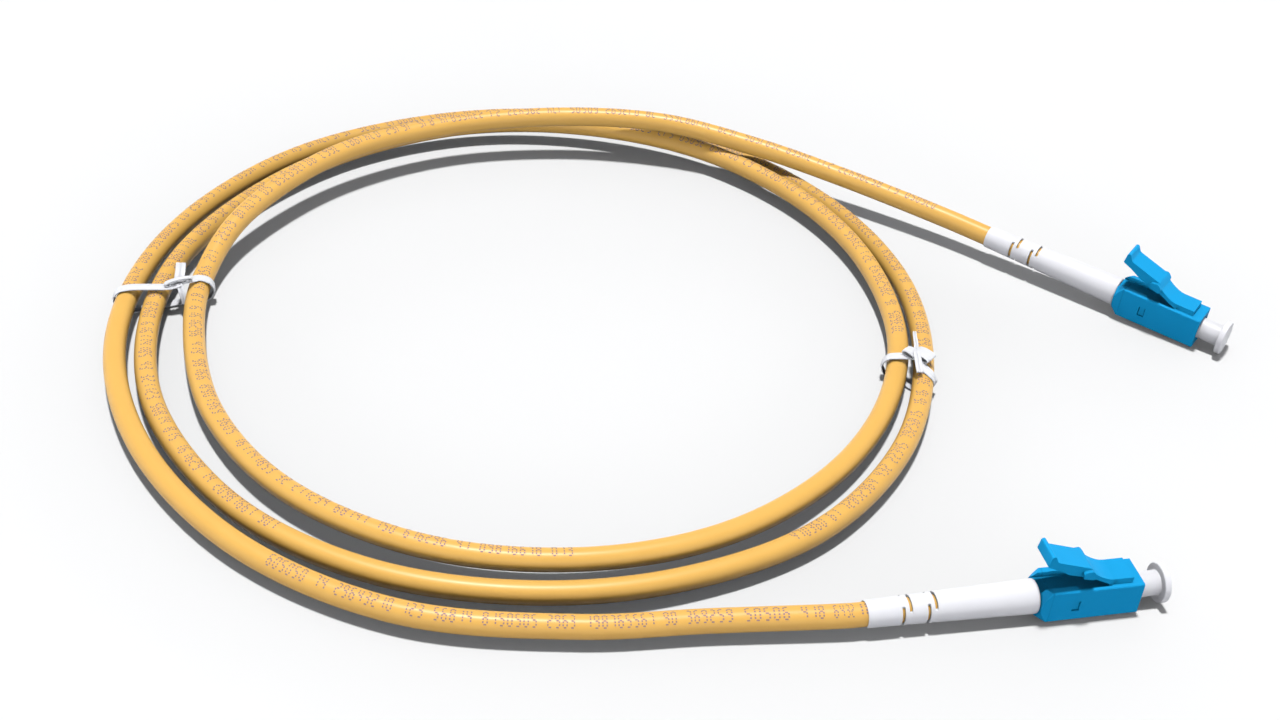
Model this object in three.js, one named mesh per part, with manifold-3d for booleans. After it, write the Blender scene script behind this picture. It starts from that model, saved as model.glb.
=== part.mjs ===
// A simplex fibre optic patch cord: one jacketed cord wound into a loose hank, held by two twist ties,
// with a small square push-pull plug on each end. Millimetres, +Z up.
import * as THREE from 'three';
import { mergeVertices } from 'three/addons/utils/BufferGeometryUtils.js';
import Module from 'manifold-3d';

const wasm = await Module();
wasm.setup();

// ---------- driving dimensions ----------

// Radii of the cord's layers, and the room left between one layer and the next.
const CORD = { jacket: 1.5, yarn: 0.97, buffer: 0.45, fibre: 0.125 };
const LAYER_GAP = 0.03;
const CORD_STEPS = 122;

// Stations along a plug's axis, counted from the rear end of its boot towards the ferrule.
const JACKET_END = 16.2;
const BUFFER_END = 29.5;
const BOOT_END = 21.7;
const COLLAR_START = 21.75;
const COLLAR_END = 22.97;
const HOUSING_START = 23;
const HOUSING_END = 34.9;
const FERRULE_START = 30.23;
const FERRULE_TIP = 36.7;
const CAP_END = 38.9;

// Cross-sections of a plug.
const HOUSING_WIDTH = 4.8;
const HOUSING_EDGE = 0.2;
const CAVITY_RADIUS = 1.45;
const NOSE_RADIUS = 1.72;
const FERRULE_RADIUS = 0.625;
const CRIMP_RADIUS = 1.72;
const CAP_FLANGE_RADIUS = 2.55;
const BOOT = { rear: 1.68, front: 2.18, bore: 1.56 };

// The boot's slots: stations of the side cuts and of the top and bottom cuts, width, and how near the
// axis they reach.
const SLOTS = { sides: [4.4, 7.6], topAndBottom: [5.3, 8.5], width: 0.35, inner: 0.9 };

// The trough under the latch: its floor, its half-widths behind and in front of its step, and its ends.
const TROUGH = { floor: 1.7, rear: 1.45, front: 2, step: 26.3, end: 30.75 };

// The window on each side of the housing: its rear end, length, and lowest and highest edge.
const WINDOW = { start: 25.85, length: 1, low: -0.85, high: 0.65 };

// The latch: its flexure's centre in the plug's XZ plane, and its widths.
const FLEXURE = { x: 30.9, z: 2.72, radius: 0.42 };
const LATCH_WIDTH = 3.5;
const LUG_WIDTH = 4.5;

// The ferrule's spring.
const SPRING = { start: 24.9, end: 29.85, radius: 0.95, wire: 0.12, turns: 6, stepsPerTurn: 10 };

// The hank's centre in the part's frame, whose origin is on the table midway between the plugs. Every
// place below is counted from the hank's centre.
const HANK_CENTRE = [-73.77, 11.47];

// Each plug: the rear end of its boot, its heading about Z and how far its nose points down.
const PLUGS = {
  a: { rear: [67.9, 30.85, 3.771], heading: -30.3, dip: 1.8 },
  b: { rear: [45.45, -53.6, 2.55], heading: 16.1, dip: 0 },
};

// How far the cord runs straight out of each boot.
const LEAD_OUT = { a: 8, b: 1.5 };

// The cord's centre line between its two straight lead-outs, from plug a over the other strands at the
// top of the hank, then two and a half turns anticlockwise, to plug b.
const ROUTE = [
  [45, 42.6, 4.9], [30.9, 47.7, 5.9], [16, 50.6, 6.9], [-0.9, 49.8, 6.6], [-18.9, 43.9, 6.1],
  [-34.1, 32, 6.1], [-44.5, 14.5, 4.8], [-47.1, 2.5, 2.6], [-46, -8.6, 2.1], [-38.6, -28.2, 2.6],
  [-25.7, -42.4, 3], [-7, -50.2, 3.2], [12.2, -49.5, 3.2], [28.8, -42.3, 3], [42.5, -28.3, 2.5],
  [50.5, -11.1, 2.1], [52.4, 5.9, 2.2], [47.3, 25.3, 2.6], [36.8, 39.9, 2.9], [21.1, 50.2, 3.1],
  [2, 53.6, 3.1], [-15.8, 50.6, 2.9], [-33, 40.1, 2.3], [-45, 24.5, 2.1], [-51.7, 6.4, 2.05],
  [-51.6, -11.6, 2.05], [-45.5, -29.3, 2.2], [-30.9, -46.2, 2.4], [-12.9, -54.5, 2.45],
  [6.1, -55.4, 2.45], [23.8, -50.5, 2.4], [40.5, -39.3, 2.3], [51.9, -21.3, 2.1], [56, -1, 2.1],
  [53.9, 18.4, 2], [45.6, 35.3, 1.8], [32, 48.5, 1.75], [14.1, 56.5, 1.75], [-5, 57.2, 1.75],
  [-23.3, 51.2, 1.75], [-40.9, 38, 1.8], [-52, 19.5, 1.95], [-56.2, 0.5, 2.1],
  [-54.2, -18.5, 2.15], [-44.7, -37.6, 2.3], [-28.8, -52.7, 2.35], [-9, -60.5, 2.35],
  [12, -60.1, 2.35], [26.9, -57.1, 2.35],
];

// The twist ties: where along the strands they bend round the first and the last strand, how far out
// those strands' centres are, the line of each end from its tip to the knot, place and heading. The
// ribbon bends at a radius, centred at a height.
const TIES = {
  left: {
    bends: [-0.8, 1.4],
    reach: [5.1, 4.9],
    upper: [[2.7, -2.35, 6.2], [1.6, -2.1, 5.3], [0.7, -1.4, 4.55], [-0.1, 0, 4.26]],
    lower: [[0.2, -3.6, 4.26], [-0.7, -2.6, 4.3], [-1.5, -2.5, 3.6], [-2.2, -2.6, 2.4]],
    at: [-51.55, -3.2],
    heading: 101,
  },
  right: {
    bends: [-0.1, -1],
    reach: [2, 2],
    upper: [[4.2, -0.2, 5.9], [2.4, -0.4, 5.1], [0.9, -0.35, 4.5], [0.35, 0.4, 4.26]],
    lower: [[-0.7, -1.6, 4.26], [-1.3, -1.1, 4.4], [-2.4, -1.1, 4.3], [-3.7, -1.3, 4.2]],
    at: [53.75, -3.2],
    heading: 84,
  },
};
const RIBBON = { half: 0.75, thick: 0.22, wire: 0.11 };
const TIE_BEND = { radius: 2, height: 2.26 };
const TIE_STEPS = 44;

// ---------- materials ----------

const plastic = (color, roughness) => new THREE.MeshStandardMaterial({ color, roughness, metalness: 0 });
const metal = (color, roughness) => new THREE.MeshStandardMaterial({ color, roughness, metalness: 1 });

const MATERIALS = {
  jacket: plastic(0xf6a93b, 0.38),
  yarn: plastic(0xe6cf5a, 0.8),
  buffer: plastic(0xf4f1e6, 0.45),
  glass: plastic(0xdfeef5, 0.1),
  housing: plastic(0x0e9fdc, 0.42),
  boot: plastic(0xf3f3f8, 0.5),
  cap: plastic(0xf3f3f8, 0.45),
  ceramic: plastic(0xfafaf5, 0.15),
  brass: metal(0xc9cbd0, 0.3),
  steel: metal(0xb8bcc2, 0.35),
  tie: plastic(0xf6f6f8, 0.5),
};

// ---------- geometry helpers ----------

const X = new THREE.Vector3(1, 0, 0);
const Y = new THREE.Vector3(0, 1, 0);
const Z = new THREE.Vector3(0, 0, 1);

// A round piece about the X axis, from a profile of [station, radius] points.
function turned(profile, sides) {
  const points = profile.map(([station, radius]) => new THREE.Vector2(radius, station));
  const geometry = new THREE.LatheGeometry(points, sides);
  return geometry.rotateZ(-Math.PI / 2);
}

// A round tube about the X axis with a plain bore.
function pipe(start, end, inner, outer, sides) {
  return turned([[start, inner], [start, outer], [end, outer], [end, inner], [start, inner]], sides);
}

// A solid round bar about the X axis.
function bar(start, end, radius, sides) {
  return turned([[start, 0], [start, radius], [end, radius], [end, 0]], sides);
}

function outline(points) {
  return new THREE.Shape(points.map(([a, b]) => new THREE.Vector2(a, b)));
}

// A cross-section in the YZ plane, drawn out along X.
function alongX(shape, start, end) {
  const geometry = new THREE.ExtrudeGeometry(shape, { depth: end - start, bevelEnabled: false });
  geometry.applyMatrix4(new THREE.Matrix4().makeBasis(Y, Z, X));
  return geometry.translate(start, 0, 0);
}

// A side view in the XZ plane, drawn out to a width along Y.
function acrossY(points, width) {
  const geometry = new THREE.ExtrudeGeometry(outline(points), { depth: width, bevelEnabled: false });
  geometry.applyMatrix4(new THREE.Matrix4().makeBasis(X, Z, Y.clone().negate()));
  return geometry.translate(0, width / 2, 0);
}

function block([x0, y0, z0], [x1, y1, z1]) {
  const geometry = new THREE.BoxGeometry(x1 - x0, y1 - y0, z1 - z0);
  return geometry.translate((x0 + x1) / 2, (y0 + y1) / 2, (z0 + z1) / 2);
}

function squareWithCutCorners(width, cut) {
  const half = width / 2;
  const near = half - cut;
  return outline([
    [half, -near], [half, near], [near, half], [-near, half],
    [-half, near], [-half, -near], [-near, -half], [near, -half],
  ]);
}

function polygon(radius, sides) {
  const points = [];
  for (let i = 0; i < sides; i += 1) {
    const angle = (2 * Math.PI * i) / sides;
    points.push([radius * Math.cos(angle), radius * Math.sin(angle)]);
  }
  return outline(points);
}

function solid(geometry) {
  const bare = geometry.index ? geometry.clone() : geometry;
  bare.deleteAttribute('normal');
  bare.deleteAttribute('uv');
  const merged = mergeVertices(bare, 1e-5);
  return new wasm.Manifold(new wasm.Mesh({
    numProp: 3,
    vertProperties: new Float32Array(merged.attributes.position.array),
    triVerts: new Uint32Array(merged.index.array),
  }));
}

function fromSolid(body) {
  const mesh = body.getMesh();
  const geometry = new THREE.BufferGeometry();
  geometry.setAttribute('position', new THREE.BufferAttribute(mesh.vertProperties, 3));
  geometry.setIndex(new THREE.BufferAttribute(mesh.triVerts, 1));
  return geometry;
}

const joined = (geometries) => geometries.map(solid).reduce((sum, next) => sum.add(next));
const cut = (body, geometries) => geometries.map(solid).reduce((rest, tool) => rest.subtract(tool), body);

function piece(name, geometry, material) {
  const mesh = new THREE.Mesh(geometry, material);
  mesh.name = name;
  return mesh;
}

// ---------- the plug's pieces, each in the plug's own frame: +X to the ferrule, +Z to the latch ----------

// The trough's outline seen from above, from a given rear end.
function trough(start) {
  const { rear, front, step, end, floor } = TROUGH;
  const slope = front - rear;
  const plan = outline([
    [start, -rear], [step, -rear], [step + slope, -front], [end, -front],
    [end, front], [step + slope, front], [step, rear], [start, rear],
  ]);
  const geometry = new THREE.ExtrudeGeometry(plan, { depth: 2, bevelEnabled: false });
  return geometry.translate(0, 0, floor);
}

function flexureCircle(radius, from, to, steps) {
  const points = [];
  for (let i = 0; i <= steps; i += 1) {
    const angle = from + ((to - from) * i) / steps;
    points.push([FLEXURE.x + radius * Math.cos(angle), FLEXURE.z + radius * Math.sin(angle)]);
  }
  return points;
}

// The square outer housing, with the fixed block that the latch bends from.
function housing() {
  const width = HOUSING_WIDTH;
  const shell = alongX(squareWithCutCorners(width, HOUSING_EDGE), HOUSING_START, HOUSING_END);
  const latchBlock = acrossY(
    [[33.7, 2.2], [33.7, 3.1], [33.6, 3.2], [FLEXURE.x, 3.2], [FLEXURE.x, 2.2]],
    LATCH_WIDTH,
  );
  const flexureRoom = acrossY(flexureCircle(FLEXURE.radius + 0.04, 0, 2 * Math.PI, 20).slice(1), width);
  const window = block(
    [WINDOW.start, -width, WINDOW.low],
    [WINDOW.start + WINDOW.length, width, WINDOW.high],
  );
  const body = cut(joined([shell, latchBlock]), [
    bar(HOUSING_START - 1, 31.13, CAVITY_RADIUS, 16),
    bar(31, 32.1, FERRULE_RADIUS + 0.13, 16),
    bar(32, HOUSING_END + 1, NOSE_RADIUS, 20),
    trough(HOUSING_START - 1),
    window,
    flexureRoom,
  ]);
  return fromSolid(body);
}

// The springy arm with its two lugs, thumb pad and lip.
function latch() {
  const front = flexureCircle(FLEXURE.radius, -Math.PI / 2, Math.PI / 2, 6);
  const arm = acrossY([
    ...front, [30.4, 3.3], [28, 4.7], [27.4, 5.45], [22.65, 7], [22.25, 7.85], [22.1, 7.95],
    [21.85, 7.93], [21.7, 7.8], [21.5, 6.4], [23, 5.7], [24.6, 4.7], [26.6, 4.2], [27.8, 3.8],
    [30.4, 2.45],
  ], LATCH_WIDTH);
  const lugs = acrossY([[26.4, 4.3], [27.85, 3.95], [28.05, 4.65], [27.3, 5.35], [26.3, 5.2]], LUG_WIDTH);
  return fromSolid(joined([arm, lugs]));
}

// The rear body: the rounded square collar, the sleeve that holds the spring, and two snap lugs.
function rearBody() {
  const square = alongX(squareWithCutCorners(HOUSING_WIDTH, HOUSING_EDGE), COLLAR_START, COLLAR_END);
  const cone = turned([
    [COLLAR_START - 0.1, 0], [COLLAR_START - 0.1, 2.35], [COLLAR_END + 0.1, 3.4], [COLLAR_END + 0.1, 0],
  ], 24);
  const collar = solid(square).intersect(solid(cone));
  const sleeve = bar(COLLAR_START + 0.2, 29.3, CAVITY_RADIUS - LAYER_GAP, 16);
  const snap = block(
    [WINDOW.start + 0.07, -1.95, WINDOW.low + 0.07],
    [WINDOW.start + WINDOW.length - 0.07, 1.95, WINDOW.high - 0.07],
  );
  const body = cut(collar.add(solid(sleeve)).add(solid(snap)), [
    bar(COLLAR_START - 1, 25, 0.95, 16),
    bar(24.7, 30, 1.15, 16),
    trough(COLLAR_START - 1),
  ]);
  return fromSolid(body);
}

// The metal post that the cord is crimped on, pressed into the rear body.
function crimpPost() {
  const bore = 0.5;
  const barrel = 1.12;
  const groove = 1.02;
  return turned([
    [16.35, bore], [16.35, barrel - 0.05], [16.4, barrel], [17.6, barrel], [17.7, groove],
    [18, groove], [18.1, barrel], [19.1, barrel], [19.2, groove], [19.5, groove], [19.6, barrel],
    [21.2, barrel], [21.2, CRIMP_RADIUS], [21.72, CRIMP_RADIUS], [21.72, 0.92], [24.5, 0.92],
    [24.5, bore], [16.35, bore],
  ], 16);
}

// The crimped sleeve: wide over the jacket, narrow over the post.
function crimpSleeve() {
  return turned([
    [13, 1.53], [13, CRIMP_RADIUS], [16.6, CRIMP_RADIUS], [17, 1.42], [21.1, 1.42],
    [21.1, 1.15], [16.9, 1.15], [16.5, 1.53], [13, 1.53],
  ], 16);
}

// The tapered boot, slotted near its rear end so that it bends with the cord.
function boot() {
  const body = solid(turned([
    [0, BOOT.bore], [0, BOOT.rear - 0.08], [0.1, BOOT.rear], [BOOT_END - 0.1, BOOT.front],
    [BOOT_END, BOOT.front - 0.1], [BOOT_END, CRIMP_RADIUS + LAYER_GAP],
    [12.9, CRIMP_RADIUS + LAYER_GAP], [12.7, BOOT.bore], [0, BOOT.bore],
  ], 20));
  const cuts = [];
  for (const side of [-1, 1]) {
    const low = side > 0 ? SLOTS.inner : -3;
    const high = side > 0 ? 3 : -SLOTS.inner;
    for (const station of SLOTS.sides) {
      cuts.push(block([station - SLOTS.width / 2, low, -3], [station + SLOTS.width / 2, high, 3]));
    }
    for (const station of SLOTS.topAndBottom) {
      cuts.push(block([station - SLOTS.width / 2, -3, low], [station + SLOTS.width / 2, 3, high]));
    }
  }
  return fromSolid(cut(body, cuts));
}

// The dust cap: a round stem over the ferrule, and a flange to pull it off by.
function dustCap() {
  const stem = 1.6;
  const flange = CAP_FLANGE_RADIUS;
  return turned([
    [37.4, 0], [37.4, 0.67], [33.45, 0.67], [33.45, stem - 0.1], [33.6, stem], [38, stem],
    [38, flange - 0.15], [38.15, flange], [CAP_END - 0.2, flange], [CAP_END, flange - 0.25],
    [CAP_END, 0],
  ], 24);
}

function ferrule() {
  const bore = 0.08;
  return turned([
    [FERRULE_START, bore], [FERRULE_START, FERRULE_RADIUS], [FERRULE_TIP - 0.35, FERRULE_RADIUS],
    [FERRULE_TIP, FERRULE_RADIUS - 0.2], [FERRULE_TIP, bore], [FERRULE_START, bore],
  ], 16);
}

// The metal holder of the ferrule, with the tail that the spring sits round.
function ferruleFlange() {
  const tailBore = 0.48;
  return turned([
    [26.6, tailBore], [26.6, 0.72], [30, 0.72], [30, 1.35], [31.1, 1.35],
    [31.1, FERRULE_RADIUS + LAYER_GAP], [30.2, FERRULE_RADIUS + LAYER_GAP], [30.2, tailBore],
    [26.6, tailBore],
  ], 16);
}

class Helix extends THREE.Curve {
  getPoint(t, target = new THREE.Vector3()) {
    const angle = 2 * Math.PI * SPRING.turns * t;
    const station = SPRING.start + (SPRING.end - SPRING.start) * t;
    return target.set(station, SPRING.radius * Math.cos(angle), SPRING.radius * Math.sin(angle));
  }
}

function spring() {
  return new THREE.ExtrudeGeometry(polygon(SPRING.wire, 5), {
    steps: SPRING.turns * SPRING.stepsPerTurn,
    extrudePath: new Helix(),
  });
}

function plug(side) {
  const group = new THREE.Group();
  group.add(
    piece(`housing_${side}`, housing(), MATERIALS.housing),
    piece(`latch_${side}`, latch(), MATERIALS.housing),
    piece(`rear_body_${side}`, rearBody(), MATERIALS.housing),
    piece(`boot_${side}`, boot(), MATERIALS.boot),
    piece(`dust_cap_${side}`, dustCap(), MATERIALS.cap),
    piece(`ferrule_${side}`, ferrule(), MATERIALS.ceramic),
    piece(`bare_fibre_${side}`, bar(FERRULE_START, FERRULE_TIP, 0.0625, 6), MATERIALS.glass),
    piece(`ferrule_flange_${side}`, ferruleFlange(), MATERIALS.brass),
    piece(`ferrule_spring_${side}`, spring(), MATERIALS.steel),
    piece(`crimp_post_${side}`, crimpPost(), MATERIALS.brass),
    piece(`crimp_sleeve_${side}`, crimpSleeve(), MATERIALS.steel),
  );
  const { rear, heading, dip } = PLUGS[side];
  group.position.set(...rear);
  group.rotation.set(0, THREE.MathUtils.degToRad(dip), THREE.MathUtils.degToRad(heading), 'ZYX');
  return group;
}

// ---------- the cord ----------

// A station on a plug's axis, as a place in the hank's frame.
function onAxis(side, station) {
  const { rear, heading, dip } = PLUGS[side];
  const turn = new THREE.Euler(0, THREE.MathUtils.degToRad(dip), THREE.MathUtils.degToRad(heading), 'ZYX');
  return new THREE.Vector3(station, 0, 0).applyEuler(turn).add(new THREE.Vector3(...rear));
}

// A path that an extrusion follows through exactly these points, so that layers on one path nest.
class Stations extends THREE.Curve {
  constructor(points) {
    super();
    this.points = points;
  }

  getPoint(t, target = new THREE.Vector3()) {
    const last = this.points.length - 1;
    const index = Math.min(Math.floor(t * last + 1e-6), last - 1);
    return target.lerpVectors(this.points[index], this.points[index + 1], t * last - index);
  }

  getPointAt(u, target) {
    return this.getPoint(u, target);
  }

  getTangentAt(u, target = new THREE.Vector3()) {
    const last = this.points.length - 1;
    const index = Math.round(u * last);
    const before = this.points[Math.max(index - 1, 0)];
    const after = this.points[Math.min(index + 1, last)];
    return target.subVectors(after, before).normalize();
  }
}

function cordStations() {
  const straight = (side) => [JACKET_END, JACKET_END / 2, 0, -LEAD_OUT[side]].map((x) => onAxis(side, x));
  const middle = ROUTE.map((point) => new THREE.Vector3(...point));
  const line = [...straight('a'), ...middle, ...straight('b').reverse()];
  return new THREE.CatmullRomCurve3(line).getSpacedPoints(CORD_STEPS);
}

// A layer of the cord: a tube of flat facets round the next layer's corners, or a bare core.
function layer(points, outer, sides, inner, innerSides) {
  const shape = polygon(outer, sides);
  if (inner) {
    shape.holes.push(polygon(inner, innerSides));
  }
  return new THREE.ExtrudeGeometry(shape, { steps: points.length - 1, extrudePath: new Stations(points) });
}

function cord() {
  const jacketed = cordStations();
  const bare = [onAxis('a', BUFFER_END), ...jacketed, onAxis('b', BUFFER_END)];
  const { jacket, yarn, buffer, fibre } = CORD;
  const group = new THREE.Group();
  group.add(
    piece('cable_jacket', layer(jacketed, jacket, 8, yarn + LAYER_GAP, 6), MATERIALS.jacket),
    piece('aramid_yarn', layer(jacketed, yarn, 6, buffer + LAYER_GAP, 6), MATERIALS.yarn),
    piece('tight_buffer', layer(bare, buffer, 6, fibre + LAYER_GAP, 4), MATERIALS.buffer),
    piece('optical_fibre', layer(bare, fibre, 4), MATERIALS.glass),
  );
  return group;
}

// ---------- the twist ties: a plastic ribbon with a wire inside, tied round the strands ----------

// A ribbon's path: its width stays level wherever the ribbon isn't going straight up or down.
class RibbonPath extends Stations {
  computeFrenetFrames(segments) {
    const frames = { tangents: [], normals: [], binormals: [] };
    let width = Y.clone();
    for (let i = 0; i <= segments; i += 1) {
      const tangent = this.getTangentAt(i / segments);
      const level = new THREE.Vector3().crossVectors(Z, tangent);
      if (level.length() > 0.35) {
        width = level.multiplyScalar(Math.sign(level.dot(width)));
      } else {
        width = width.clone().addScaledVector(tangent, -width.dot(tangent));
      }
      width.normalize();
      frames.tangents.push(tangent);
      frames.normals.push(width);
      frames.binormals.push(new THREE.Vector3().crossVectors(tangent, width));
    }
    return frames;
  }
}

// The ribbon's line in the tie's own frame: +X along the strands, +Y across them.
function tieLine({ bends, reach, upper, lower }) {
  const { radius, height } = TIE_BEND;
  const low = height - radius;
  const points = [...upper];
  for (let i = 0; i <= 4; i += 1) {
    const angle = (Math.PI * i) / 4;
    points.push([bends[0], reach[0] + radius * Math.sin(angle), height + radius * Math.cos(angle)]);
  }
  points.push(
    [bends[0], reach[0] - 0.8, low],
    [(bends[0] + bends[1]) / 2, 0, low],
    [bends[1], 0.8 - reach[1], low],
  );
  for (let i = 0; i <= 4; i += 1) {
    const angle = (Math.PI * i) / 4;
    points.push([bends[1], -reach[1] - radius * Math.sin(angle), height - radius * Math.cos(angle)]);
  }
  points.push(...lower);
  return new THREE.CatmullRomCurve3(points.map((point) => new THREE.Vector3(...point)));
}

function tie(side) {
  const path = new RibbonPath(tieLine(TIES[side]).getSpacedPoints(TIE_STEPS));
  const { half, thick, wire } = RIBBON;
  const rib = outline([
    [-half, 0], [-thick, -thick], [thick, -thick], [half, 0], [thick, thick], [-thick, thick],
  ]);
  rib.holes.push(polygon(wire + LAYER_GAP, 4));
  const options = { steps: TIE_STEPS, extrudePath: path };
  const group = new THREE.Group();
  group.add(
    piece(`twist_tie_${side}`, new THREE.ExtrudeGeometry(rib, options), MATERIALS.tie),
    piece(`tie_wire_${side}`, new THREE.ExtrudeGeometry(polygon(wire, 4), options), MATERIALS.steel),
  );
  group.position.set(...TIES[side].at, 0);
  group.rotation.z = THREE.MathUtils.degToRad(TIES[side].heading);
  return group;
}

// ---------- assembly ----------

const patchCord = new THREE.Group();
patchCord.add(cord(), plug('a'), plug('b'), tie('left'), tie('right'));
patchCord.position.set(...HANK_CENTRE, 0);

export default patchCord;
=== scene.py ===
import math

import bmesh
import bpy
from mathutils import Matrix, Vector


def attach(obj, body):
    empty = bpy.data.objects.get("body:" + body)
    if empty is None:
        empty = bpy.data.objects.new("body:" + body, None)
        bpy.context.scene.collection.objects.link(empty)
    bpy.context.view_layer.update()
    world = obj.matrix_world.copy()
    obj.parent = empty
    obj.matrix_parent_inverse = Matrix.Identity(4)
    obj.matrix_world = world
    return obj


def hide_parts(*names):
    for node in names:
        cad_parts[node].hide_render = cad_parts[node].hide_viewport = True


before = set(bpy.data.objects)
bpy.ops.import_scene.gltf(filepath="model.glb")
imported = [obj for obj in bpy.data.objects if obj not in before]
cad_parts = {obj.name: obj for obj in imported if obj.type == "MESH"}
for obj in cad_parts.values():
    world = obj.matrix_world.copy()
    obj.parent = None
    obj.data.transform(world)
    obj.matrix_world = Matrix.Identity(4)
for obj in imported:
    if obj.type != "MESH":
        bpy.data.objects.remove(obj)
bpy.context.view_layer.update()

# A fibre optic patch cord on a pale table, wound into a loose hank that two twist ties hold. At each end
# it has a small square plug with a sprung latch, a white boot behind and a white dust cap in front.

MM = 0.001
UP = Vector((0, 0, 1))

# ---------- places and sizes shared with the CAD model, in millimetres ----------

# The hank's centre in the part's frame, whose origin is on the table midway between the plugs.
HANK_CENTRE = Vector((-73.77, 11.47, 0))

# For each plug: the rear end of its boot, from the hank's centre, its heading round Z and how far its
# nose dips, in degrees. The cord is straight over its lead-out behind each boot, and its jacket ends at
# the same place inside each plug.
PLUGS = {
    "a": {"rear": (67.9, 30.85, 3.771), "heading": -30.3, "dip": 1.8},
    "b": {"rear": (45.45, -53.6, 2.55), "heading": 16.1, "dip": 0},
}
LEAD_OUT = {"a": 8, "b": 1.5}
JACKET_END = 16.2
JACKET_RADIUS = 1.5

# The cord's centre line from plug a to plug b, from the hank's centre.
ROUTE = [
    (45, 42.6, 4.9), (30.9, 47.7, 5.9), (16, 50.6, 6.9), (-0.9, 49.8, 6.6), (-18.9, 43.9, 6.1),
    (-34.1, 32, 6.1), (-44.5, 14.5, 4.8), (-47.1, 2.5, 2.6), (-46, -8.6, 2.1),
    (-38.6, -28.2, 2.6), (-25.7, -42.4, 3), (-7, -50.2, 3.2), (12.2, -49.5, 3.2),
    (28.8, -42.3, 3), (42.5, -28.3, 2.5), (50.5, -11.1, 2.1), (52.4, 5.9, 2.2), (47.3, 25.3, 2.6),
    (36.8, 39.9, 2.9), (21.1, 50.2, 3.1), (2, 53.6, 3.1), (-15.8, 50.6, 2.9), (-33, 40.1, 2.3),
    (-45, 24.5, 2.1), (-51.7, 6.4, 2.05), (-51.6, -11.6, 2.05), (-45.5, -29.3, 2.2),
    (-30.9, -46.2, 2.4), (-12.9, -54.5, 2.45), (6.1, -55.4, 2.45), (23.8, -50.5, 2.4),
    (40.5, -39.3, 2.3), (51.9, -21.3, 2.1), (56, -1, 2.1), (53.9, 18.4, 2), (45.6, 35.3, 1.8),
    (32, 48.5, 1.75), (14.1, 56.5, 1.75), (-5, 57.2, 1.75), (-23.3, 51.2, 1.75), (-40.9, 38, 1.8),
    (-52, 19.5, 1.95), (-56.2, 0.5, 2.1), (-54.2, -18.5, 2.15), (-44.7, -37.6, 2.3),
    (-28.8, -52.7, 2.35), (-9, -60.5, 2.35), (12, -60.1, 2.35), (26.9, -57.1, 2.35),
]


def placed(place, heading, dip=0):
    """From a piece's own frame, in millimetres, to the part's frame, in metres. Angles are in degrees."""
    turn = Matrix.Rotation(math.radians(heading), 4, "Z") @ Matrix.Rotation(math.radians(dip), 4, "Y")
    return Matrix.Translation((HANK_CENTRE + Vector(place)) * MM) @ turn @ Matrix.Scale(MM, 4)


def plug_matrix(side):
    plug = PLUGS[side]
    return placed(plug["rear"], plug["heading"], plug["dip"])


def on_axis(side, station):
    return plug_matrix(side) @ Vector((station, 0, 0))


# ---------- camera ----------

# The camera's place, the angles by which it looks down and is rolled, and its lens and sensor.
CAMERA_PLACE = Vector((-57.77, -199.53, 155.5)) * MM
CAMERA_DOWN = math.radians(37)
CAMERA_ROLL = math.radians(-5.62)
CAMERA_LENS = 51.58
CAMERA_SENSOR = 36
CAMERA_NEAR = 10 * MM


def add_camera():
    """A camera that looks along +Y and down, rolled a little about the way it looks."""
    data = bpy.data.cameras.new("camera")
    data.lens = CAMERA_LENS
    data.sensor_width = CAMERA_SENSOR
    data.clip_start = CAMERA_NEAR
    camera = bpy.data.objects.new("camera", data)
    bpy.context.scene.collection.objects.link(camera)
    forward = Vector((0, math.cos(CAMERA_DOWN), -math.sin(CAMERA_DOWN)))
    level_down = Vector((0, -math.sin(CAMERA_DOWN), -math.cos(CAMERA_DOWN)))
    right = Vector((1, 0, 0)) * math.cos(CAMERA_ROLL) + level_down * math.sin(CAMERA_ROLL)
    down = Vector((-1, 0, 0)) * math.sin(CAMERA_ROLL) + level_down * math.cos(CAMERA_ROLL)
    axes = Matrix((right, -down, -forward)).transposed().to_4x4()
    camera.matrix_world = Matrix.Translation(CAMERA_PLACE) @ axes
    bpy.context.scene.camera = camera


# ---------- the cord's centre line ----------

LINE_SPACING = 1.2


def catmull(points, spacing):
    """A centripetal Catmull-Rom curve through the points, sampled about every spacing."""
    first = points[0] * 2 - points[1]
    last = points[-1] * 2 - points[-2]
    ends = [first, *points, last]
    samples = []
    for i in range(1, len(ends) - 2):
        p = ends[i - 1:i + 3]
        t = [0]
        for j in range(3):
            t.append(t[-1] + max((p[j + 1] - p[j]).length, 1e-9) ** 0.5)
        count = max(1, round((p[2] - p[1]).length / spacing))
        for k in range(count):
            s = t[1] + (t[2] - t[1]) * k / count
            a = [p[j] * ((t[j + 1] - s) / (t[j + 1] - t[j])) + p[j + 1] * ((s - t[j]) / (t[j + 1] - t[j]))
                 for j in range(3)]
            b = [a[j] * ((t[j + 2] - s) / (t[j + 2] - t[j])) + a[j + 1] * ((s - t[j]) / (t[j + 2] - t[j]))
                 for j in range(2)]
            samples.append(b[0] * ((t[2] - s) / (t[2] - t[1])) + b[1] * ((s - t[1]) / (t[2] - t[1])))
    samples.append(points[-1])
    return samples


def cord_end(side):
    """The line's points from the jacket's end inside a plug to the end of its lead-out."""
    return [on_axis(side, station) for station in (JACKET_END, JACKET_END / 2, 0, -LEAD_OUT[side])]


def cord_line():
    middle = [(HANK_CENTRE + Vector(point)) * MM for point in ROUTE]
    return catmull([*cord_end("a"), *middle, *reversed(cord_end("b"))], LINE_SPACING * MM)


add_camera()
LINE = cord_line()
CORD_LENGTH = sum((b - a).length for a, b in zip(LINE, LINE[1:]))


# ---------- materials ----------

GLOSS_SPREAD = 0.12
RELIEF_DEPTH = 0.02 * MM


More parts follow.
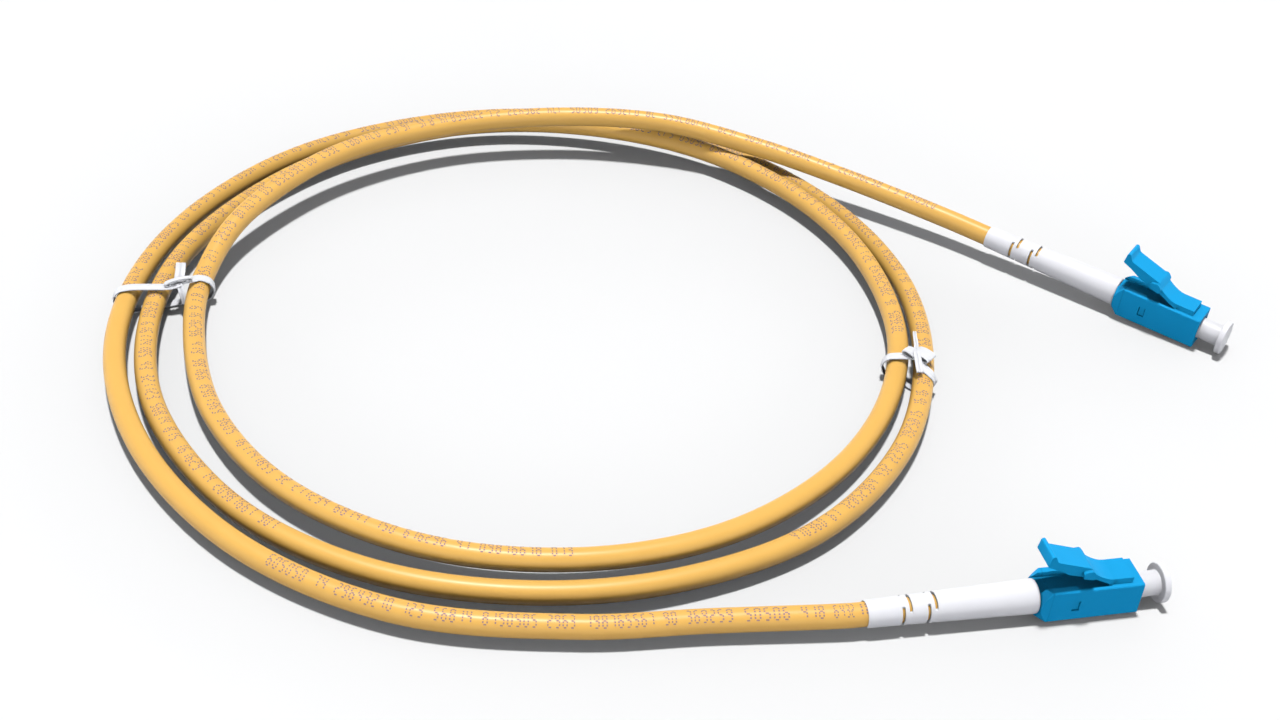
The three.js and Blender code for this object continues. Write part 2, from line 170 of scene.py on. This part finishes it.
def material(name, color, roughness, mottle=0.03, grain=900, bump=0.02, metallic=0, shine=0.5):
    """A finish whose colour and roughness wander slightly and whose surface has a fine grain."""
    made = bpy.data.materials.new(name)
    made.use_nodes = True
    nodes, links = made.node_tree.nodes, made.node_tree.links
    shader = nodes["Principled BSDF"]
    shader.inputs["Metallic"].default_value = metallic
    shader.inputs["Specular IOR Level"].default_value = shine
    place = nodes.new("ShaderNodeTexCoord")
    clouds = nodes.new("ShaderNodeTexNoise")
    clouds.inputs["Scale"].default_value = grain / 3
    clouds.inputs["Detail"].default_value = 2
    links.new(place.outputs["Object"], clouds.inputs["Vector"])
    # A mix node's colour sockets are the inputs 6 and 7 and the output 2.
    tint = nodes.new("ShaderNodeMix")
    tint.data_type = "RGBA"
    tint.inputs[6].default_value = (*[channel * (1 - mottle) for channel in color], 1)
    tint.inputs[7].default_value = (*[min(channel * (1 + mottle), 1) for channel in color], 1)
    links.new(clouds.outputs["Fac"], tint.inputs["Factor"])
    links.new(tint.outputs[2], shader.inputs["Base Color"])
    gloss = nodes.new("ShaderNodeMapRange")
    gloss.inputs["To Min"].default_value = roughness * (1 - GLOSS_SPREAD)
    gloss.inputs["To Max"].default_value = min(roughness * (1 + GLOSS_SPREAD), 1)
    links.new(clouds.outputs["Fac"], gloss.inputs["Value"])
    links.new(gloss.outputs["Result"], shader.inputs["Roughness"])
    fine = nodes.new("ShaderNodeTexNoise")
    fine.inputs["Scale"].default_value = grain * 3
    links.new(place.outputs["Object"], fine.inputs["Vector"])
    relief = nodes.new("ShaderNodeBump")
    relief.inputs["Strength"].default_value = bump * 10
    relief.inputs["Distance"].default_value = RELIEF_DEPTH
    links.new(fine.outputs["Fac"], relief.inputs["Height"])
    links.new(relief.outputs["Normal"], shader.inputs["Normal"])
    return made


JACKET_ORANGE = material("jacket_orange", (1, 0.57, 0.135), 0.38, mottle=0.02, bump=0.01)
PRINT_GREY = material("print_grey", (0.44, 0.25, 0.26), 0.6, mottle=0.12, bump=0.01)
PLUG_BLUE = material("plug_blue", (0.008, 0.41, 0.85), 0.6, shine=0.12)
BOOT_WHITE = material("boot_white", (0.95, 0.95, 1), 0.5, mottle=0.015, bump=0.015)
CAP_WHITE = material("cap_white", (0.95, 0.95, 1), 0.45, mottle=0.015, bump=0.01)
TIE_WHITE = material("tie_white", (0.92, 0.93, 0.97), 0.45, mottle=0.02, bump=0.015)
YARN_GOLD = material("yarn_gold", (0.75, 0.52, 0.08), 0.7, mottle=0.2, grain=2500, bump=0.06)
BUFFER_CREAM = material("buffer_cream", (0.85, 0.82, 0.7), 0.4)
GLASS = material("glass_fibre", (0.78, 0.88, 0.92), 0.08, mottle=0.02, bump=0)
CERAMIC = material("ceramic", (0.88, 0.87, 0.82), 0.15, mottle=0.015, bump=0, shine=0.8)
NICKEL = material("nickel", (0.6, 0.6, 0.62), 0.3, mottle=0.06, metallic=1)
STEEL = material("steel", (0.52, 0.53, 0.56), 0.34, mottle=0.08, metallic=1)


# ---------- mesh helpers ----------

LATHE_SIDES = 96
BEVEL_STEPS = 3


def new_object(name, mesh):
    obj = bpy.data.objects.new(name, mesh)
    bpy.context.scene.collection.objects.link(obj)
    return obj


def from_bmesh(name, bm):
    bmesh.ops.recalc_face_normals(bm, faces=bm.faces)
    mesh = bpy.data.meshes.new(name)
    bm.to_mesh(mesh)
    bm.free()
    return new_object(name, mesh)


def bridge(bm, ring, following):
    """Faces between two rings of vertices, either of which may be a single point."""
    count = max(len(ring), len(following))
    for k in range(count):
        corners = [ring[k % len(ring)], ring[(k + 1) % len(ring)],
                   following[(k + 1) % len(following)], following[k % len(following)]]
        unique = [corner for i, corner in enumerate(corners) if corner not in corners[:i]]
        if len(unique) > 2:
            bm.faces.new(unique)


def lathe(name, profile):
    """Round about X: a closed profile of (station, radius) points, which may start and end on the axis."""
    bm = bmesh.new()
    rings = []
    for station, radius in profile:
        turns = [2 * math.pi * k / LATHE_SIDES for k in range(LATHE_SIDES)] if radius else [0]
        rings.append([bm.verts.new((station, radius * math.cos(t), radius * math.sin(t))) for t in turns])
    if profile[0][1]:
        rings.append(rings[0])
    for ring, following in zip(rings, rings[1:]):
        bridge(bm, ring, following)
    return from_bmesh(name, bm)


# A prism can be drawn out along X, Y or Z, from an outline in the other two coordinates.

def along(a, b, depth):
    return (depth, a, b)


def across(a, b, depth):
    return (a, depth, b)


def upward(a, b, depth):
    return (a, b, depth)


def prism(name, outline, facing, low, high):
    """An outline drawn out from low to high, in the direction that facing gives."""
    bm = bmesh.new()
    rings = [[bm.verts.new(facing(a, b, depth)) for a, b in outline] for depth in (low, high)]
    bridge(bm, *rings)
    for ring in rings:
        bm.faces.new(ring)
    return from_bmesh(name, bm)


def box(name, low, high):
    x0, y0, z0 = low
    x1, y1, z1 = high
    return prism(name, [(x0, y0), (x1, y0), (x1, y1), (x0, y1)], upward, z0, z1)


def arc(centre, radius, start, end, steps=6):
    """Points round an arc, with its two ends given in degrees."""
    turns = [math.radians(start + (end - start) * i / steps) for i in range(steps + 1)]
    return [(centre[0] + radius * math.cos(t), centre[1] + radius * math.sin(t)) for t in turns]


def circle(radius, sides):
    return arc((0, 0), radius, 0, 360, sides)[:-1]


def rounded_square(half, radius):
    near = half - radius
    return [*arc((near, near), radius, 0, 90), *arc((-near, near), radius, 90, 180),
            *arc((-near, -near), radius, 180, 270), *arc((near, -near), radius, 270, 360)]


def apply_modifiers(obj):
    bpy.context.view_layer.update()
    evaluated = obj.evaluated_get(bpy.context.evaluated_depsgraph_get())
    mesh = bpy.data.meshes.new_from_object(evaluated)
    obj.modifiers.clear()
    old, obj.data = obj.data, mesh
    bpy.data.meshes.remove(old)


def combine(body, tool, operation):
    modifier = body.modifiers.new("combine", "BOOLEAN")
    modifier.object = tool
    modifier.operation = operation
    modifier.solver = "EXACT"
    apply_modifiers(body)
    mesh = tool.data
    bpy.data.objects.remove(tool)
    bpy.data.meshes.remove(mesh)


def join(body, part):
    """Add a part's mesh to a body's as it is, and remove the part."""
    bm = bmesh.new()
    bm.from_mesh(body.data)
    bm.from_mesh(part.data)
    bm.to_mesh(body.data)
    bm.free()
    mesh = part.data
    bpy.data.objects.remove(part)
    bpy.data.meshes.remove(mesh)


def soften(obj, width, angle=40):
    """Round the edges that are sharper than an angle, given in degrees."""
    obj.modifiers.new("triangulate", "TRIANGULATE")
    modifier = obj.modifiers.new("soften", "BEVEL")
    modifier.width = width
    modifier.segments = BEVEL_STEPS
    modifier.limit_method = "ANGLE"
    modifier.angle_limit = math.radians(angle)
    apply_modifiers(obj)


def shade(obj, angle=32):
    """Shade smooth, except over edges that are sharper than an angle, given in degrees."""
    for polygon in obj.data.polygons:
        polygon.use_smooth = True
    obj.data.set_sharp_from_angle(angle=math.radians(angle))
    modifier = obj.modifiers.new("even", "WEIGHTED_NORMAL")
    modifier.keep_sharp = True
    apply_modifiers(obj)


def fit(obj, finish, body, node=None):
    """Give a piece its finish and let it ride a body, in place of a node of the CAD model."""
    obj.data.materials.clear()
    obj.data.materials.append(finish)
    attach(obj, body)
    if node:
        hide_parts(node)
    return obj


# ---------- a plug's visible pieces, in its own frame: +X to the ferrule, +Z to the latch ----------

# The housing: half its width, the radius of its edges, where it starts and ends, and the radii of its
# cavity behind and its opening in front.
HALF = 2.4
EDGE = 0.28
SEAM = 23
NOSE = 34.9
CAVITY = 1.45
NOSE_BORE = 1.72

# The trough under the latch, cut into the housing and the rear body, gets wider at a rounded step.
TROUGH = {"narrow": 1.45, "wide": 2, "step": 26.3, "corner": 0.2, "end": 30.75, "floor": 1.7}

# The latch, the centre and radius of its root, and the block on the housing from which it springs.
LATCH_HALF = 1.75
LUG_HALF = 2.25
ROOT = (30.9, 2.72)
ROOT_RADIUS = 0.46
BLOCK_TOP = 3.18
BLOCK_FRONT = 33.5

# The window on each side of the housing, and the rear body's snap lug in it: the gap round it and how
# far out from the plug's axis it reaches.
WINDOW = {"x": (25.85, 26.85), "z": (-0.85, 0.65)}
SNAP_GAP = 0.1
SNAP_REACH = 2.22

# The stations of the boot's flex slots: two are cut into its sides, and two into its top and bottom.
SLOTS = {upward: (4.4, 7.6), across: (5.3, 8.5)}
SLOT_HALF = 0.2

# The radii of the dust cap's stem and flange, and the ferrule's radius and tip.
CAP_STEM = 1.6
CAP_FLANGE = 2.55
FERRULE_RADIUS = 0.625
FERRULE_TIP = 36.7


def trough(name, start):
    """A tool that cuts the trough. Its straight sides have a point level with the window's front edge."""
    narrow, wide, step, corner = TROUGH["narrow"], TROUGH["wide"], TROUGH["step"], TROUGH["corner"]
    half = [(start, narrow), (step, narrow), *arc((step + corner, wide - corner), corner, 180, 90, 4),
            (WINDOW["x"][1], wide), (TROUGH["end"], wide)]
    plan = [*[(x, -y) for x, y in half], *reversed(half)]
    return prism(name, plan, upward, TROUGH["floor"], TROUGH["floor"] + 2)


def make_housing(side):
    body = prism("housing_skin_" + side, rounded_square(HALF, EDGE), along, SEAM, NOSE)
    block = [(ROOT[0], 2), (BLOCK_FRONT, 2), (BLOCK_FRONT, BLOCK_TOP), (ROOT[0], BLOCK_TOP)]
    combine(body, prism("block", block, across, -LATCH_HALF, LATCH_HALF), "UNION")
    combine(body, trough("trough", SEAM - 1), "DIFFERENCE")
    (rear, front), (low, high) = WINDOW["x"], WINDOW["z"]
    combine(body, box("window", (rear, -4, low), (front, 4, high)), "DIFFERENCE")
    soften(body, 0.09)
    chamfer = NOSE_BORE + 0.15
    bore = lathe("bore", [
        (SEAM - 1, 0), (SEAM - 1, CAVITY), (31.1, CAVITY), (31.1, 0.76), (32.1, 0.76), (32.1, NOSE_BORE),
        (NOSE - 0.12, NOSE_BORE), (NOSE + 0.03, chamfer), (NOSE + 1, chamfer), (NOSE + 1, 0),
    ])
    combine(body, bore, "DIFFERENCE")
    shade(body)
    return body


def make_latch(side):
    top = [
        (30.9, BLOCK_TOP), (30.35, 3.24), (29.8, 3.42), (29.2, 3.71), (28.6, 4.08), (28.1, 4.45),
        (27.95, 4.7), (27.62, 5.22), (27.45, 5.37), (27.2, 5.48), (22.86, 6.91), (22.68, 7.02),
        (22.55, 7.2), (22.32, 7.75),
    ]
    ridge = [(22.22, 7.88), (22.05, 7.95), (21.85, 7.9), (21.72, 7.76)]
    under = [
        (21.5, 6.48), (21.56, 6.34), (23, 5.68), (24.6, 4.72), (26.6, 4.2), (27.8, 3.8), (28.9, 3.2),
        (29.8, 2.74), (30.5, 2.44),
    ]
    root = arc(ROOT, ROOT_RADIUS, -100, 88, 10)
    arm = prism("latch_skin_" + side, [*top, *ridge, *under, *root], across, -LATCH_HALF, LATCH_HALF)
    lug = [
        (26.36, 4.28), (27.8, 3.93), (28, 4.12), (28.05, 4.62), (27.62, 5.16), (27.35, 5.3), (26.5, 5.2),
        (26.3, 5.02),
    ]
    combine(arm, prism("lug", lug, across, -LUG_HALF, LUG_HALF), "UNION")
    soften(arm, 0.07, angle=50)
    shade(arm)
    return arm


def make_rear_body(side):
    """A square collar with a conical rear edge, and the sleeve and snap lugs that hold it in the housing."""
    body = prism("rear_skin_" + side, rounded_square(HALF, EDGE), along, 21.75, SEAM - 0.03)
    cone = lathe("cone", [(21.6, 0), (21.6, 2.3), (21.7, 2.36), (23.1, 3.5), (23.1, 0)])
    combine(body, cone, "INTERSECT")
    sleeve = CAVITY - 0.03
    combine(body, lathe("sleeve", [(22, 0), (22, sleeve), (29.3, sleeve), (29.3, 0)]), "UNION")
    (rear, front), (low, high) = WINDOW["x"], WINDOW["z"]
    snap = box("snap", (rear + SNAP_GAP, -SNAP_REACH, low + SNAP_GAP),
               (front - SNAP_GAP, SNAP_REACH, high - SNAP_GAP))
    combine(body, snap, "UNION")
    combine(body, trough("trough", 21), "DIFFERENCE")
    soften(body, 0.06)
    bore = lathe("bore", [(21, 0), (21, 0.95), (24.8, 0.95), (24.8, 1.15), (30, 1.15), (30, 0)])
    combine(body, bore, "DIFFERENCE")
    shade(body)
    return body


def make_boot(side):
    body = lathe("boot_skin_" + side, [
        (0.12, 1.56), (0, 1.6), (0, 1.62), (0.06, 1.67), (0.16, 1.69), (21.5, 2.165), (21.64, 2.13),
        (21.7, 2.04), (21.7, 1.76), (12.9, 1.76), (12.7, 1.56),
    ])
    for facing, stations in SLOTS.items():
        for station in stations:
            rear, front = station - SLOT_HALF, station + SLOT_HALF
            for sign in (-1, 1):
                corners = [(rear, 3 * sign), (rear, 1.02 * sign), (station - 0.12, 0.93 * sign),
                           (station + 0.12, 0.93 * sign), (front, 1.02 * sign), (front, 3 * sign)]
                combine(body, prism("slot", corners, facing, -3, 3), "DIFFERENCE")
    shade(body)
    return body


def make_cap(side):
    stem, flange = CAP_STEM, CAP_FLANGE
    body = lathe("cap_skin_" + side, [
        (37.4, 0), (37.4, 0.6), (37.33, 0.67), (33.5, 0.67), (33.45, 0.72), (33.45, stem - 0.12),
        (33.49, stem - 0.04), (33.58, stem), (37.82, stem), (37.94, stem + 0.04), (38, stem + 0.16),
        (38, flange - 0.17), *arc((38.16, flange - 0.16), 0.16, 180, 90, 4),
        *arc((38.68, flange - 0.2), 0.2, 90, 0, 5), (38.88, flange - 0.4), (38.86, flange - 0.45), (38.86, 0),
    ])
    shade(body)
    return body


def make_ferrule(side):
    radius, tip = FERRULE_RADIUS, FERRULE_TIP
    body = lathe("ferrule_skin_" + side, [
        (30.23, 0.08), (30.23, radius - 0.025), (30.26, radius), (tip - 0.36, radius),
        (tip - 0.3, radius - 0.015), (tip - 0.04, 0.45), (tip, 0.4), (tip, 0.08),
    ])
    shade(body)
    return body


def place_plug(side):
    latch_body, cap_body, ferrule_body = "latch_arm_" + side, "cap_" + side, "ferrule_group_" + side
    root = "cord_and_housings"
    pieces = [
        fit(make_housing(side), PLUG_BLUE, root, "housing_" + side),
        fit(make_latch(side), PLUG_BLUE, latch_body, "latch_" + side),
        fit(make_rear_body(side), PLUG_BLUE, root, "rear_body_" + side),
        fit(make_boot(side), BOOT_WHITE, root, "boot_" + side),
        fit(make_cap(side), CAP_WHITE, cap_body, "dust_cap_" + side),
        fit(make_ferrule(side), CERAMIC, ferrule_body, "ferrule_" + side),
    ]
    for piece in pieces:
        piece.data.transform(plug_matrix(side))


for side in PLUGS:
    place_plug(side)


# ---------- the cord's jacket and the marks printed on it ----------

def frames(line):
    """At each point of a line: the point, the level direction to its right, and the one square to both."""
    result = []
    for i, point in enumerate(line):
        before = line[max(i - 1, 0)]
        after = line[min(i + 1, len(line) - 1)]
        tangent = (after - before).normalized()
        right = tangent.cross(UP).normalized()
        result.append((point, right, right.cross(tangent)))
    return result


def sweep(name, rows, section):
    """A bar along rows of (point, right, up), whose section is a closed list of (right, up) offsets."""
    bm = bmesh.new()
    rings = [[bm.verts.new(point + right * a + up * b) for a, b in section] for point, right, up in rows]
    for ring, following in zip(rings, rings[1:]):
        bridge(bm, ring, following)
    for ring in (rings[0], rings[-1]):
        bm.faces.new(ring)
    obj = from_bmesh(name, bm)
    for polygon in obj.data.polygons:
        polygon.use_smooth = len(polygon.vertices) == 4
    return obj


JACKET_SIDES = 40
JACKET_ROWS = frames(LINE)

# Where the jacket is printed, in mm from the end inside plug a, and how far the print is rolled from the
# top of the cord towards the inside of the hank, in degrees, at some distances.
PRINT_SPANS = ((27, 249), (323, 545), (613, 838), (905, 974))
PRINT_ROLL = ((0, 0), (120, 4), (170, 14), (230, 6), (480, 4), (640, 0), (860, -10), (930, -18), (1000, -18))

# How many numerals each group has, the length of cord that each takes up, its size, and how far its dots
# reach below and above the jacket's surface.
PRINT_WORDS = (6, 2, 8, 3, 5, 7, 4, 9, 2, 6, 5, 3)
CELL = 0.94
GLYPH = {"wide": 0.66, "high": 1.65, "dot": 0.17}
PRINT_SUNK = -0.03
PRINT_RAISED = 0.012

# The bars of the numerals 0 to 9. Bars a, g and d lie along the cord, at a numeral's head, middle and foot.
NUMERALS = ("abcdef", "bc", "abdeg", "abcdg", "bcfg", "acdfg", "acdefg", "abc", "abcdefg", "abcdfg")


def numeral_dots(numeral):
    """The printed dots and dashes of a numeral, as (along, across, length, width) in its cell."""
    wide, high, dot = GLYPH["wide"], GLYPH["high"], GLYPH["dot"]
    bars = {"a": high, "g": high / 2, "d": 0}
    uprights = {"f": (0, 0.5), "e": (0, 0), "b": (1, 0.5), "c": (1, 0)}
    for bar in NUMERALS[numeral]:
        if bar in bars:
            yield (dot, bars[bar] - dot / 2, wide - 2 * dot, dot)
        else:
            column, row = uprights[bar]
            for step in (0.1, 0.32):
                yield (column * (wide - dot), (row + step) * high, dot, 1.3 * dot)


def roll_at(distance):
    """How far the print is rolled at a distance along the cord, in radians."""
    for (start, first), (end, last) in zip(PRINT_ROLL, PRINT_ROLL[1:]):
        if distance <= end:
            return math.radians(first + (last - first) * (distance - start) / (end - start))
    return math.radians(PRINT_ROLL[-1][1])


def place_on_jacket(distance, lift, angle):
    """A place on the jacket: mm along it, mm above its surface, and the turn from up towards the left."""
    step = CORD_LENGTH / MM / (len(LINE) - 1)
    i = min(int(distance / step), len(LINE) - 2)
    t = distance / step - i
    point, right, up = [JACKET_ROWS[i][k].lerp(JACKET_ROWS[i + 1][k], t) for k in range(3)]
    radius = (JACKET_RADIUS + lift) * MM
    return point + (up.normalized() * math.cos(angle) - right.normalized() * math.sin(angle)) * radius


def print_numeral(bm, numeral, distance):
    """Thin blocks for a numeral's dots, from just under the jacket's surface to just above it."""
    roll = roll_at(distance)
    for u, v, long, wide in numeral_dots(numeral):
        corners = []
        for lift in (PRINT_SUNK, PRINT_RAISED):
            for du, dv in ((0, 0), (long, 0), (long, wide), (0, wide)):
                turn = roll + (v + dv - GLYPH["high"] / 2) / JACKET_RADIUS
                corners.append(bm.verts.new(place_on_jacket(distance + u + du, lift, turn)))
        low, high = corners[:4], corners[4:]
        bridge(bm, low, high)
        bm.faces.new(low)
        bm.faces.new(high)


def make_print():
    """Groups of numerals in no order, one cell apart, in each printed stretch of the cord."""
    bm = bmesh.new()
    counter = 0
    for start, end in PRINT_SPANS:
        distance = start
        word = 0
        while distance < end:
            for _ in range(PRINT_WORDS[word % len(PRINT_WORDS)]):
                numeral = (3 * counter + counter * counter // 5 + word) % len(NUMERALS)
                counter += 1
                print_numeral(bm, numeral, distance)
                distance += CELL
            distance += CELL
            word += 1
    return from_bmesh("jacket_print", bm)


jacket_section = circle(JACKET_RADIUS * MM, JACKET_SIDES)
jacket = fit(sweep("jacket_skin", JACKET_ROWS, jacket_section), JACKET_ORANGE, "cord_and_housings",
             "cable_jacket")
jacket_print = fit(make_print(), PRINT_GREY, "cord_and_housings")


# ---------- the twist ties ----------

# A ribbon's bends round the outer strands: their radius and the height of their centre, and how much of
# its height the upper half keeps where the ribbon has settled on the cord.
TIE_BEND = 2
TIE_HEIGHT = 2.26
TIE_SETTLED = 0.87

# How far in from its lower bends the ribbon lies flat, and the spacing of its rows.
TIE_INSET = 0.8
TIE_SPACING = 0.2

# How many times the ribbon's twist is evened out, and the sine of its angle from upright above which its
# width is level.
TWIST_SPREAD = 12
LEVEL_SINE = 0.35

# Half the ribbon's width, and half the thickness of its wings and of its rib; the same for the loops and
# the folded tails of the knot.
RIBBON = {"half": 0.72, "wing": 0.09, "rib": 0.2}
LOOP_WING = 0.1
LOOP_RIB = 0.17
TAIL_THICK = 0.17
LOOP_STEPS = 40
WIRE_RADIUS = 0.1

# Each tie: its place from the hank's centre, its heading along the strands and its reach across them,
# how far along the strands its near and far bends lie, and its points at the knot where it starts and
# ends. A loop of the knot has its centre, half its length as a vector, half its height and half its width.
# A tail has its points and half its width at the start and at the end.
TIES = {
    "left": {
        "at": (-51.55, -3.2), "heading": 101, "reach": 4.8,
        "near": -0.8, "far": (1.4, 1.4, 1.4, 1.4, 1.4),
        "start": [(-0.3, -2.3, 4.25), (-0.75, -1, 4.1)],
        "end": [(0.9, -3.9, 4.1), (0.3, -2.9, 4.3)],
        "loops": [((-0.3, -2.1, 4.62), (0.6, -1.8, 0.1), 0.42, 0.34),
                  ((-0.25, -2.1, 4.55), (0.4, -1.25, 0.1), 0.3, 0.42)],
        "tails": [([(-0.2, -2.15, 4.5), (0.7, -2.25, 4.9), (1.6, -2.35, 5.4), (2.35, -2.4, 5.95)], 0.72, 0.7),
                  ([(-0.5, -2.2, 4.4), (-1.15, -2.45, 3.8), (-1.7, -2.7, 3), (-2.2, -2.85, 2.1)], 0.5, 0.3)],
    },
    "right": {
        "at": (53.75, -3.2), "heading": 84, "reach": 1.75,
        "near": -0.1, "far": (-1.7, -2.2, -2.6, -2.7, -1.6),
        "start": [(0.3, -0.9, 4.3), (0.15, 0.2, 4.1)],
        "end": [(-0.8, -1.35, 4.3), (-0.3, -1, 4.4)],
        "loops": [((0.25, 0.05, 4.6), (0.55, 0.85, 0.1), 0.36, 0.8),
                  ((0.2, -1.65, 4.65), (-0.7, -1.15, 0), 0.4, 1.1)],
        "tails": [([(0.6, -0.6, 4.8), (1.8, -0.5, 5.1), (2.9, -0.25, 5.4), (3.9, -0.05, 5.7)], 0.36, 0.26),
                  ([(0, -0.65, 5.1), (-1.2, -0.9, 4.9), (-2.4, -1.15, 4.6), (-3.5, -1.4, 4.3)], 0.54, 0.48)],
    },
}


def tie_line(tie):
    """The ribbon once round the bundle, in the tie's own frame: +X along the strands, +Y across them."""
    def settled(z):
        return TIE_HEIGHT + max(z - TIE_HEIGHT, 0) * TIE_SETTLED + min(z - TIE_HEIGHT, 0)

    near, far, reach = tie["near"], tie["far"], tie["reach"]
    low = TIE_HEIGHT - TIE_BEND
    points = list(tie["start"])
    for y, z in arc((reach, TIE_HEIGHT), TIE_BEND, 90, -90, 4):
        points.append((near, y, settled(z)))
    flat = reach - TIE_INSET
    points += [(near, flat, low), ((near + far[0]) / 2, 0, low), (far[0], -flat, low)]
    for x, (y, z) in zip(far, arc((-reach, TIE_HEIGHT), TIE_BEND, 270, 90, 4)):
        points.append((x, y, settled(z)))
    return catmull([Vector(point) for point in points + tie["end"]], TIE_SPACING)


def ribbon_rows(line):
    """The line's points with the ribbon's width, level wherever it isn't going straight up or down."""
    last = len(line) - 1
    tangents = [(line[min(i + 1, last)] - line[max(i - 1, 0)]).normalized() for i in range(len(line))]
    widths = [Vector((0, 1, 0))]
    for tangent in tangents:
        level = UP.cross(tangent)
        if level.length > LEVEL_SINE:
            widths.append((level * level.dot(widths[-1])).normalized())
        else:
            widths.append((widths[-1] - tangent * widths[-1].dot(tangent)).normalized())
    widths = widths[1:]
    for _ in range(TWIST_SPREAD):
        ends = [widths[0], *widths, widths[-1]]
        widths = [(ends[i] + ends[i + 1] + ends[i + 2]).normalized() for i in range(len(widths))]
    rows = []
    for point, tangent, width in zip(line, tangents, widths):
        width = (width - tangent * width.dot(tangent)).normalized()
        rows.append((point, width, tangent.cross(width)))
    return rows


def mirrored(right, middle):
    """A closed section, from the points of its upper right quarter and the height at its middle."""
    upper = [*right, (0, middle), *[(-a, b) for a, b in reversed(right)]]
    return [*upper, *[(a, -b) for a, b in reversed(upper)]]


def ribbon_section(half, wing, rib):
    """A ribbon with thin wings and a round rib along its middle."""
    right = [(half, 0.3 * wing), (half - 0.05, wing), (rib + 0.12, wing), (0.75 * rib, 0.72 * rib)]
    return mirrored(right, rib)


def folded_section(half, thick):
    """A ribbon folded along its middle: two plump lobes with a groove between them."""
    lobe = [(half, 0.2 * thick), (0.92 * half, 0.75 * thick), (0.55 * half, thick),
            (0.2 * half, 0.75 * thick)]
    return mirrored(lobe, 0.35 * thick)


def tail_rows(points, first, last):
    """A tail's rows, with its width going from first to last times the section's."""
    rows = ribbon_rows(catmull([Vector(point) for point in points], TIE_SPACING))
    scales = [first + (last - first) * i / (len(rows) - 1) for i in range(len(rows))]
    return [(point, right * scale, up) for (point, right, up), scale in zip(rows, scales)]


def loop_rows(centre, reach, high):
    """A flattened loop of ribbon lying along a direction: reach is half its length, high half its height."""
    centre, reach = Vector(centre), Vector(reach)
    width = UP.cross(reach).normalized()
    rise = reach.cross(width).normalized() * -high
    rows = []
    for i in range(LOOP_STEPS + 1):
        t = 2 * math.pi * i / LOOP_STEPS
        tangent = (reach * -math.sin(t) + rise * math.cos(t)).normalized()
        rows.append((centre + reach * math.cos(t) + rise * math.sin(t), width, tangent.cross(width)))
    return rows


def make_tie(side):
    tie = TIES[side]
    obj = sweep("tie_skin_" + side, ribbon_rows(tie_line(tie)), ribbon_section(**RIBBON))
    for points, first, last in tie["tails"]:
        join(obj, sweep("tail", tail_rows(points, first, last), folded_section(1, TAIL_THICK)))
    for centre, reach, high, half in tie["loops"]:
        join(obj, sweep("loop", loop_rows(centre, reach, high), ribbon_section(half, LOOP_WING, LOOP_RIB)))
    shade(obj, 45)
    return obj


def make_wire(side):
    wire = sweep("wire_skin_" + side, ribbon_rows(tie_line(TIES[side])), circle(WIRE_RADIUS, 12))
    shade(wire, 60)
    return wire


def tie_matrix(side):
    tie = TIES[side]
    return placed((*tie["at"], 0), tie["heading"])


for side in TIES:
    ribbon = fit(make_tie(side), TIE_WHITE, "cord_and_housings", "twist_tie_" + side)
    wire = fit(make_wire(side), STEEL, "cord_and_housings", "tie_wire_" + side)
    for piece in (ribbon, wire):
        piece.data.transform(tie_matrix(side))


# ---------- the pieces kept from the CAD model ----------

# The finish of the nodes whose names start with these words.
KEPT = {
    "bare": GLASS, "ferrule_flange": NICKEL, "ferrule_spring": STEEL, "crimp_post": NICKEL,
    "crimp_sleeve": STEEL, "aramid": YARN_GOLD, "tight": BUFFER_CREAM, "optical": GLASS,
}
for name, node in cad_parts.items():
    for start, finish in KEPT.items():
        if name.startswith(start):
            node.data.materials.clear()
            node.data.materials.append(finish)


# ---------- floor and light ----------

FLOOR_HALF = 3
FLOOR_DROP = 0.02 * MM

# The key light's strength, the direction it comes from, and its width in degrees.
KEY_STRENGTH = 2.58
KEY_FROM = (-0.05, 0.12, 1)
KEY_WIDTH = 6

# The ring's strength, the heights at which it ends and is full, from 0 at the horizon to 1 overhead, and
# the strength of the sky above it.
RING_STRENGTH = 3
RING_TOP = 0.3
RING_FULL = 0.18
SKY_STRENGTH = 0.14


def add_floor():
    """A pale sheet a hair below the cord, much wider than the picture."""
    bm = bmesh.new()
    bmesh.ops.create_grid(bm, x_segments=1, y_segments=1, size=FLOOR_HALF)
    mesh = bpy.data.meshes.new("floor")
    bm.to_mesh(mesh)
    bm.free()
    floor = new_object("floor", mesh)
    floor.location.z = -FLOOR_DROP
    paper = material("floor_paper", (0.93, 0.93, 0.93), 0.7, mottle=0.002, grain=60, bump=0)
    floor.data.materials.append(paper)


def add_light():
    """A broad overhead key, and a soft ring of light from low all round, as in a white tent."""
    data = bpy.data.lights.new("key", "SUN")
    data.energy = KEY_STRENGTH
    data.angle = math.radians(KEY_WIDTH)
    light = bpy.data.objects.new("key", data)
    light.rotation_euler = Vector(KEY_FROM).to_track_quat("Z", "Y").to_euler()
    bpy.context.scene.collection.objects.link(light)
    world = bpy.data.worlds.new("studio")
    world.use_nodes = True
    nodes, links = world.node_tree.nodes, world.node_tree.links
    direction = nodes.new("ShaderNodeTexCoord")
    split = nodes.new("ShaderNodeSeparateXYZ")
    ring = nodes.new("ShaderNodeMapRange")
    ring.inputs["From Min"].default_value = RING_TOP
    ring.inputs["From Max"].default_value = RING_FULL
    ring.inputs["To Min"].default_value = SKY_STRENGTH
    ring.inputs["To Max"].default_value = RING_STRENGTH
    links.new(direction.outputs["Generated"], split.inputs["Vector"])
    links.new(split.outputs["Z"], ring.inputs["Value"])
    links.new(ring.outputs["Result"], nodes["Background"].inputs["Strength"])
    nodes["Background"].inputs["Color"].default_value = (0.96, 0.97, 1, 1)
    scene = bpy.context.scene
    scene.world = world
    world.cycles_visibility.glossy = False
    scene.cycles.diffuse_bounces = 0
    scene.view_settings.view_transform = "Standard"


add_floor()
add_light()
